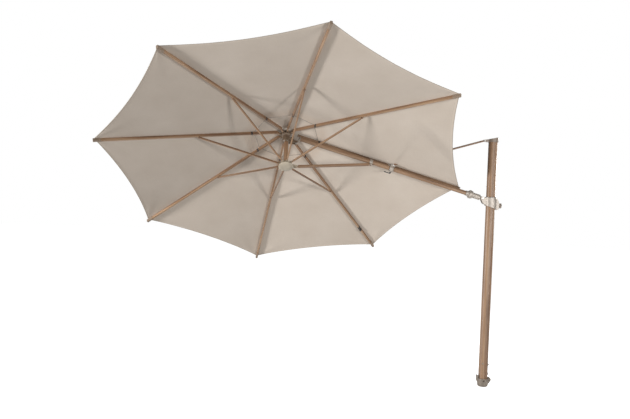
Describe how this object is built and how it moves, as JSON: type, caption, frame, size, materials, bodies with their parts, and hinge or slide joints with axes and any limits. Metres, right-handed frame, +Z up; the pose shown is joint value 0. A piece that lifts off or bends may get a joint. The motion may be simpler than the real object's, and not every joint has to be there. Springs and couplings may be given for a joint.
{
  "type": "cantilever parasol",
  "caption": "Cantilever parasol: round tilting cloth canopy on ribs and struts, hung from a boom on a swivelling mast with a sliding carriage and a tie rod.",
  "frame": {"origin": "centre of the foot's underside, on the mast's axis", "axes": "+Z up the mast; the boom and canopy reach out towards -X; -Y is the side the canopy is tilted up on"},
  "size_m": [3.897, 2.879, 3.0749],
  "materials": {
    "cast_metal": "grey painted casting",
    "black_plastic": "matte black",
    "bright_steel": "zinc-plated",
    "grey_plastic": "matte grey-brown",
    "wood_look": "wood-grain print on aluminium, satin",
    "wood_look_dark": "wood-grain print on aluminium, satin, darker",
    "satin_silver": "satin silver die casting",
    "hub_plastic": "satin beige",
    "canopy_cloth": "plain woven polyester, sand"
  },
  "bodies": {
    "foot": {"foot_socket": "cast_metal", "foot_bush": "black_plastic", "foot_spindle": "bright_steel", "foot_clamp_screw": "bright_steel"},
    "mast": {"mast_tube": "wood_look", "mast_insert": "cast_metal", "mast_bolt_lower": "bright_steel", "mast_bolt_upper": "bright_steel", "mast_plug": "grey_plastic", "mast_cap": "grey_plastic", "tie_top_pin": "bright_steel"},
    "tie": {"tie_rod": "wood_look"},
    "carrier": {"hinge_block": "satin_silver", "tilt_collar": "satin_silver", "collar_bush": "black_plastic", "collar_pin": "bright_steel"},
    "lever": {"tilt_lever": "black_plastic"},
    "carriage": {"carriage": "satin_silver", "carriage_liner": "black_plastic", "hinge_bolt": "bright_steel"},
    "knob": {"clamp_knob": "grey_plastic", "clamp_stud": "bright_steel"},
    "boom": {"boom_flange": "satin_silver", "boom_tube": "wood_look", "boom_end_clevis": "satin_silver", "strut_bracket": "satin_silver", "rail_inner": "wood_look_dark", "rail_outer": "wood_look_dark", "rail_tip": "grey_plastic", "canopy_panel_0": "canopy_cloth"},
    "crown": {"crown_hub": "hub_plastic", "canopy_pole": "wood_look", "finial": "hub_plastic", "vent_cap": "canopy_cloth"},
    "runner": {"runner_hub": "hub_plastic", "runner_cover": "hub_plastic"},
    "boom_strut": {"boom_strut": "wood_look"},
    "rib_1": {"rib_1": "wood_look", "canopy_panel_1": "canopy_cloth"},
    "strut_1": {"strut_1": "wood_look"},
    "rib_2": {"rib_2": "wood_look", "canopy_panel_2": "canopy_cloth"},
    "strut_2": {"strut_2": "wood_look"},
    "rib_3": {"rib_3": "wood_look", "canopy_panel_3": "canopy_cloth"},
    "strut_3": {"strut_3": "wood_look"},
    "rib_4": {"rib_4": "wood_look", "canopy_panel_4": "canopy_cloth"},
    "strut_4": {"strut_4": "wood_look"},
    "rib_5": {"rib_5": "wood_look", "canopy_panel_5": "canopy_cloth"},
    "strut_5": {"strut_5": "wood_look"},
    "rib_6": {"rib_6": "wood_look", "canopy_panel_6": "canopy_cloth"},
    "strut_6": {"strut_6": "wood_look"},
    "rib_7": {"rib_7": "wood_look", "canopy_panel_7": "canopy_cloth", "strap_clip": "black_plastic"},
    "strut_7": {"strut_7": "wood_look"}
  },
  "joints": [
    {"name": "mast_swivel", "type": "hinge", "parent": "foot", "child": "mast", "pos_m": [0, 0, 0.06], "axis": [0, 0, 1], "continuous": true},
    {"name": "boom_lift", "type": "hinge", "parent": "mast", "child": "tie", "pos_m": [-0.09, 0, 2.43596], "axis": [0, -1, 0], "range_deg": [0, 58]},
    {"name": "collar_pivot", "type": "hinge", "parent": "tie", "child": "carrier", "pos_m": [-0.99898, 0, 2.15048], "axis": [0, -1, 0], "range_deg": [-118, 0.5]},
    {"name": "carriage_pivot", "type": "hinge", "parent": "carrier", "child": "carriage", "pos_m": [-0.09, 0, 1.865], "axis": [0, -1, 0], "range_deg": [-0.5, 59]},
    {"name": "clamp_turn", "type": "hinge", "parent": "carriage", "child": "knob", "pos_m": [0.09, 0, 1.797], "axis": [1, 0, 0], "continuous": true},
    {"name": "tilt_lock", "type": "hinge", "parent": "carrier", "child": "lever", "pos_m": [-1.01858, 0, 2.07809], "axis": [0, -1, 0], "range_deg": [0, 75]},
    {"name": "canopy_roll", "type": "hinge", "parent": "carrier", "child": "boom", "pos_m": [-0.22513, 0, 1.90159], "axis": [-0.9652, 0, 0.2613], "range_deg": [-75, 5]},
    {"name": "canopy_fold", "type": "hinge", "parent": "boom", "child": "crown", "pos_m": [-1.95643, -0.03484, 2.31937], "axis": [0.151, -0.8161, 0.5578], "range_deg": [0, 72], "deforming": ["canopy_panel_0", "canopy_panel_1", "canopy_panel_2", "canopy_panel_3", "canopy_panel_4", "canopy_panel_5", "canopy_panel_6", "canopy_panel_7", "vent_cap"]},
    {"name": "boom_strut_pivot", "type": "hinge", "parent": "boom", "child": "boom_strut", "pos_m": [-1.2196, -0.01849, 2.14379], "axis": [0.151, -0.8161, 0.5578], "range_deg": [-0.5, 145]},
    {"name": "runner_pivot", "type": "hinge", "parent": "boom_strut", "child": "runner", "pos_m": [-1.95218, -0.19977, 2.0769], "axis": [0.151, -0.8161, 0.5578], "range_deg": [-73, 0.5]},
    {"name": "rib_1_pivot", "type": "hinge", "parent": "crown", "child": "rib_1", "pos_m": [-2.00812, -0.03089, 2.4152], "axis": [0.5921, 0.6711, -0.4461], "range_deg": [-0.5, 73]},
    {"name": "strut_1_pivot", "type": "hinge", "parent": "rib_1", "child": "strut_1", "pos_m": [-1.38605, -0.50451, 2.52843], "axis": [0.5921, 0.6711, -0.4461], "range_deg": [-145, 0.5]},
    {"name": "rib_2_pivot", "type": "hinge", "parent": "crown", "child": "rib_2", "pos_m": [-2.0474, -0.05088, 2.42811], "axis": [0.9884, 0.1329, -0.0731], "range_deg": [-0.5, 73]},
    {"name": "strut_2_pivot", "type": "hinge", "parent": "rib_2", "child": "strut_2", "pos_m": [-1.92866, -0.78053, 2.70667], "axis": [0.9884, 0.1329, -0.0731], "range_deg": [-145, 0.5]},
    {"name": "rib_3_pivot", "type": "hinge", "parent": "crown", "child": "rib_3", "pos_m": [-2.09199, -0.04217, 2.42141], "axis": [0.8057, -0.4831, 0.3427], "range_deg": [-0.5, 73]},
    {"name": "strut_3_pivot", "type": "hinge", "parent": "rib_3", "child": "strut_3", "pos_m": [-2.5446, -0.66032, 2.61412], "axis": [0.8057, -0.4831, 0.3427], "range_deg": [-145, 0.5]},
    {"name": "rib_4_pivot", "type": "hinge", "parent": "crown", "child": "rib_4", "pos_m": [-2.11577, -0.00988, 2.39903], "axis": [0.151, -0.8161, 0.5578], "range_deg": [-0.5, 73]},
    {"name": "strut_4_pivot", "type": "hinge", "parent": "rib_4", "child": "strut_4", "pos_m": [-2.87305, -0.21429, 2.30498], "axis": [0.151, -0.8161, 0.5578], "range_deg": [-145, 0.5]},
    {"name": "rib_5_pivot", "type": "hinge", "parent": "crown", "child": "rib_5", "pos_m": [-2.1048, 0.02708, 2.37408], "axis": [-0.5921, -0.6711, 0.4461], "range_deg": [-0.5, 73]},
    {"name": "strut_5_pivot", "type": "hinge", "parent": "rib_5", "child": "strut_5", "pos_m": [-2.72161, 0.29628, 1.96034], "axis": [-0.5921, -0.6711, 0.4461], "range_deg": [-145, 0.5]},
    {"name": "rib_6_pivot", "type": "hinge", "parent": "crown", "child": "rib_6", "pos_m": [-2.06552, 0.04706, 2.36117], "axis": [-0.9884, -0.1329, 0.0731], "range_deg": [-0.5, 73]},
    {"name": "strut_6_pivot", "type": "hinge", "parent": "rib_6", "child": "strut_6", "pos_m": [-2.179, 0.57231, 1.78209], "axis": [-0.9884, -0.1329, 0.0731], "range_deg": [-145, 0.5]},
    {"name": "rib_7_pivot", "type": "hinge", "parent": "crown", "child": "rib_7", "pos_m": [-2.02093, 0.03836, 2.36787], "axis": [-0.8057, 0.4831, -0.3427], "range_deg": [-0.5, 73]},
    {"name": "strut_7_pivot", "type": "hinge", "parent": "rib_7", "child": "strut_7", "pos_m": [-1.56306, 0.4521, 1.87465], "axis": [-0.8057, 0.4831, -0.3427], "range_deg": [-145, 0.5]}
  ],
  "couplings": [
    {"joint": "collar_pivot", "follows": "boom_lift", "ratio": -2},
    {"joint": "carriage_pivot", "follows": "boom_lift", "ratio": 1},
    {"joint": "boom_strut_pivot", "follows": "canopy_fold", "ratio": 2},
    {"joint": "runner_pivot", "follows": "canopy_fold", "ratio": -1},
    {"joint": "rib_1_pivot", "follows": "canopy_fold", "ratio": 1},
    {"joint": "strut_1_pivot", "follows": "canopy_fold", "ratio": -2},
    {"joint": "rib_2_pivot", "follows": "canopy_fold", "ratio": 1},
    {"joint": "strut_2_pivot", "follows": "canopy_fold", "ratio": -2},
    {"joint": "rib_3_pivot", "follows": "canopy_fold", "ratio": 1},
    {"joint": "strut_3_pivot", "follows": "canopy_fold", "ratio": -2},
    {"joint": "rib_4_pivot", "follows": "canopy_fold", "ratio": 1},
    {"joint": "strut_4_pivot", "follows": "canopy_fold", "ratio": -2},
    {"joint": "rib_5_pivot", "follows": "canopy_fold", "ratio": 1},
    {"joint": "strut_5_pivot", "follows": "canopy_fold", "ratio": -2},
    {"joint": "rib_6_pivot", "follows": "canopy_fold", "ratio": 1},
    {"joint": "strut_6_pivot", "follows": "canopy_fold", "ratio": -2},
    {"joint": "rib_7_pivot", "follows": "canopy_fold", "ratio": 1},
    {"joint": "strut_7_pivot", "follows": "canopy_fold", "ratio": -2}
  ]
}
